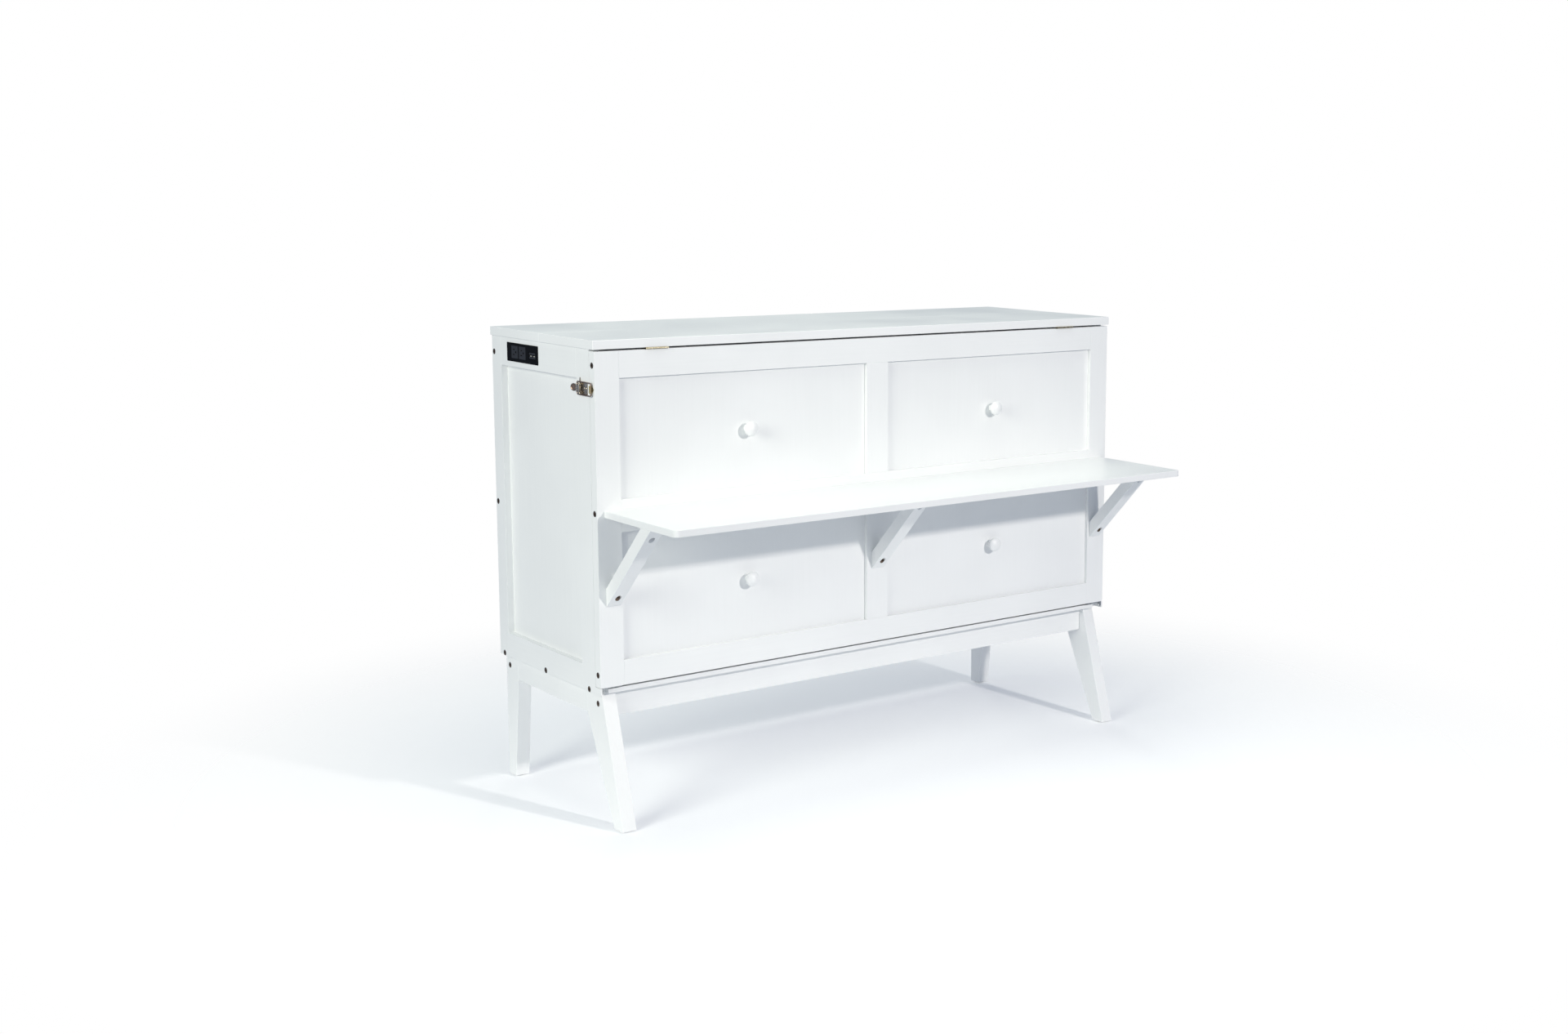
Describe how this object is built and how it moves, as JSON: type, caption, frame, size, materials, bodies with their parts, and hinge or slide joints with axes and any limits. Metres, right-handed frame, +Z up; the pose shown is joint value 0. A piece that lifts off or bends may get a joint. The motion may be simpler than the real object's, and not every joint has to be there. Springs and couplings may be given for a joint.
{
  "type": "cabinet murphy bed",
  "caption": "Free-standing chest bed: a drop front with a desk shelf unfolds with a hinged foot section and leg, a flip lid, side latches and a power unit.",
  "frame": {"origin": "on the floor, in the middle of the footprint with the shelf included", "axes": "+X to the right seen from the front, +Y to the back, +Z up; closed as a cabinet"},
  "size_m": [1.662, 0.88, 1.19],
  "materials": {
    "white_paint": "satin white painted wood",
    "inner_paint": "flat white painted wood",
    "slat_wood": "sanded pine",
    "bronze_bolts": "dark bronze",
    "brass_hinges": "satin brass",
    "zinc_steel": "zinc plated",
    "nickel_latch": "antique nickel",
    "black_plastic": "gloss black",
    "dark_plastic": "matte black",
    "glide_plastic": "nylon",
    "painted_plate": "satin white painted steel"
  },
  "bodies": {
    "cabinet": {"back_panels": "white_paint", "back_rails": "white_paint", "back_stiles": "white_paint", "cabinet_bolts": "bronze_bolts", "center_bearer": "inner_paint", "cord_gland": "black_plastic", "floor_bearers": "slat_wood", "floor_panel": "inner_paint", "floor_slats": "slat_wood", "foot_glides": "glide_plastic", "front_legs": "white_paint", "latch_bases": "nickel_latch", "left_side_panel": "white_paint", "left_side_rails": "white_paint", "left_side_stiles": "white_paint", "lid_rear_board": "white_paint", "long_aprons": "white_paint", "pivot_plates": "painted_plate", "power_housing": "black_plastic", "power_sockets": "black_plastic", "rear_legs": "white_paint", "right_side_panel": "white_paint", "right_side_rails": "white_paint", "right_side_stiles": "white_paint", "side_aprons": "white_paint", "usb_ports": "dark_plastic"},
    "front_panel": {"front_outer_stiles": "white_paint", "front_center_stiles": "white_paint", "front_bottom_rail": "white_paint", "front_middle_rail": "white_paint", "front_top_rail": "white_paint", "front_field_panels": "white_paint", "knobs": "white_paint", "knob_screws": "zinc_steel", "front_slats": "slat_wood", "shelf": "white_paint", "shelf_braces": "white_paint", "front_bolts": "bronze_bolts", "latch_keepers": "nickel_latch", "pivot_brackets": "zinc_steel", "lid_hinge_lower_leaves": "brass_hinges", "lid_hinge_pins": "brass_hinges", "fold_hinge_front_leaves": "zinc_steel", "fold_hinge_pins": "zinc_steel"},
    "lid_front": {"lid_front_board": "white_paint", "lid_hinge_upper_leaves": "brass_hinges"},
    "foot_section": {"foot_side_rails": "inner_paint", "foot_cross_rails": "inner_paint", "foot_slats": "slat_wood", "fold_hinge_foot_leaves": "zinc_steel", "leg_pins": "zinc_steel"},
    "foot_leg": {"foot_leg_posts": "inner_paint", "foot_leg_rails": "inner_paint"},
    "latch_lever_left": {"latch_lever_left": "nickel_latch"},
    "latch_loop_left": {"latch_loop_left": "nickel_latch"},
    "latch_lever_right": {"latch_lever_right": "nickel_latch"},
    "latch_loop_right": {"latch_loop_right": "nickel_latch"}
  },
  "joints": [
    {"name": "front_drop", "type": "hinge", "parent": "cabinet", "child": "front_panel", "pos_m": [0, -0.105, 0.338], "axis": [1, 0, 0], "range_deg": [0, 90]},
    {"name": "lid_flip", "type": "hinge", "parent": "front_panel", "child": "lid_front", "pos_m": [0, -0.113, 1.16575], "axis": [1, 0, 0], "range_deg": [0, 180]},
    {"name": "foot_unfold", "type": "hinge", "parent": "front_panel", "child": "foot_section", "pos_m": [0, -0.0695, 1.154], "axis": [1, 0, 0], "range_deg": [0, 180]},
    {"name": "foot_leg_swing", "type": "hinge", "parent": "foot_section", "child": "foot_leg", "pos_m": [0, -0.042, 0.531], "axis": [1, 0, 0], "range_deg": [-90, 0]},
    {"name": "latch_left", "type": "hinge", "parent": "cabinet", "child": "latch_lever_left", "pos_m": [-0.827, -0.045, 1.073], "axis": [0, 0, 1], "range_deg": [0, 150]},
    {"name": "latch_loop_left", "type": "hinge", "parent": "latch_lever_left", "child": "latch_loop_left", "pos_m": [-0.827, -0.033, 1.073], "axis": [0, 0, 1], "range_deg": [-150, 0]},
    {"name": "latch_right", "type": "hinge", "parent": "cabinet", "child": "latch_lever_right", "pos_m": [0.827, -0.045, 1.073], "axis": [0, 0, -1], "range_deg": [0, 150]},
    {"name": "latch_loop_right", "type": "hinge", "parent": "latch_lever_right", "child": "latch_loop_right", "pos_m": [0.827, -0.033, 1.073], "axis": [0, 0, -1], "range_deg": [-150, 0]}
  ],
  "couplings": [
    {"joint": "lid_flip", "follows": "front_drop", "ratio": 2},
    {"joint": "foot_unfold", "follows": "front_drop", "ratio": 2},
    {"joint": "foot_leg_swing", "follows": "front_drop", "ratio": -1},
    {"joint": "latch_loop_left", "follows": "latch_left", "ratio": -1},
    {"joint": "latch_loop_right", "follows": "latch_right", "ratio": -1}
  ]
}
